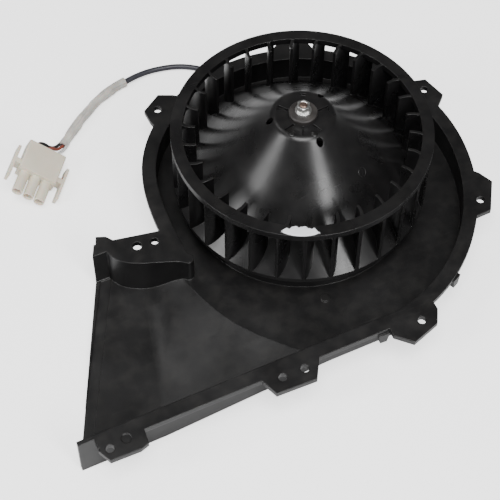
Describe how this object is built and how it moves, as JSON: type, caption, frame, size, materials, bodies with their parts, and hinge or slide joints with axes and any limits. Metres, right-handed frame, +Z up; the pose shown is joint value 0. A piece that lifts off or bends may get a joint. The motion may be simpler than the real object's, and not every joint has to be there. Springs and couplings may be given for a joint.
{
  "type": "combustion fan",
  "caption": "Boiler combustion fan: open moulded scroll half-shell with outlet duct, bell-hubbed centrifugal impeller on a motor below, and a short lead with an in-line connector.",
  "frame": {"origin": "on the fan's shaft axis, at the motor's flat back face, which is the plane the fan stands on", "axes": "+Z up the shaft axis towards the nut, +X along the straight outlet wall, away from the outlet"},
  "size_m": [0.2591, 0.2353, 0.083],
  "materials": {
    "housing_plastic": "satin moulded",
    "impeller_plastic": "satin moulded",
    "brass": "turned",
    "collar_rubber": "moulded",
    "zinc_steel": "bright zinc",
    "shaft_steel": "ground",
    "spring_steel": "oiled",
    "lamination_steel": "stacked sheet",
    "cast_aluminium": "cast",
    "washer_plastic": "natural nylon",
    "bobbin_plastic": "natural nylon",
    "enamelled_copper": "enamelled copper wire",
    "zinc_plate": "pressed zinc-plated sheet",
    "sintered_bronze": "sintered, oiled",
    "rubber": "moulded",
    "cable_jacket": "satin PVC",
    "sleeve_fibre": "crinkled fibre sleeve",
    "wire_black": "insulated wire",
    "wire_brown": "insulated wire",
    "wire_white": "insulated wire",
    "connector_nylon": "natural nylon",
    "tinned_brass": "tinned"
  },
  "bodies": {
    "housing": {"scroll_housing": "housing_plastic", "stator_stack": "lamination_steel", "coil_bobbins": "bobbin_plastic", "stator_coils": "enamelled_copper", "front_bracket": "zinc_plate", "rear_bracket": "zinc_plate", "lower_bearing": "sintered_bronze", "upper_bearing": "sintered_bronze", "lower_bearing_clip": "spring_steel", "upper_bearing_clip": "spring_steel", "motor_plate": "zinc_plate", "stack_spacers": "zinc_steel", "through_bolts": "zinc_steel", "bolt_nuts": "zinc_steel", "mount_grommets": "rubber", "mount_screws": "zinc_steel", "cable_gland": "rubber", "supply_cable": "cable_jacket", "cable_sleeve": "sleeve_fibre", "lead_black": "wire_black", "lead_brown": "wire_brown", "lead_white": "wire_white", "connector_body": "connector_nylon", "crimp_contacts": "tinned_brass"},
    "rotor": {"impeller": "impeller_plastic", "hub_insert": "brass", "hub_collar": "collar_rubber", "flange_nut": "zinc_steel", "motor_shaft": "shaft_steel", "impeller_circlip": "spring_steel", "rotor_core": "lamination_steel", "rotor_cage": "cast_aluminium", "thrust_washers": "washer_plastic"}
  },
  "joints": [
    {"name": "fan_spin", "type": "hinge", "parent": "housing", "child": "rotor", "pos_m": [0, 0, 0.06], "axis": [0, 0, 1], "continuous": true}
  ]
}
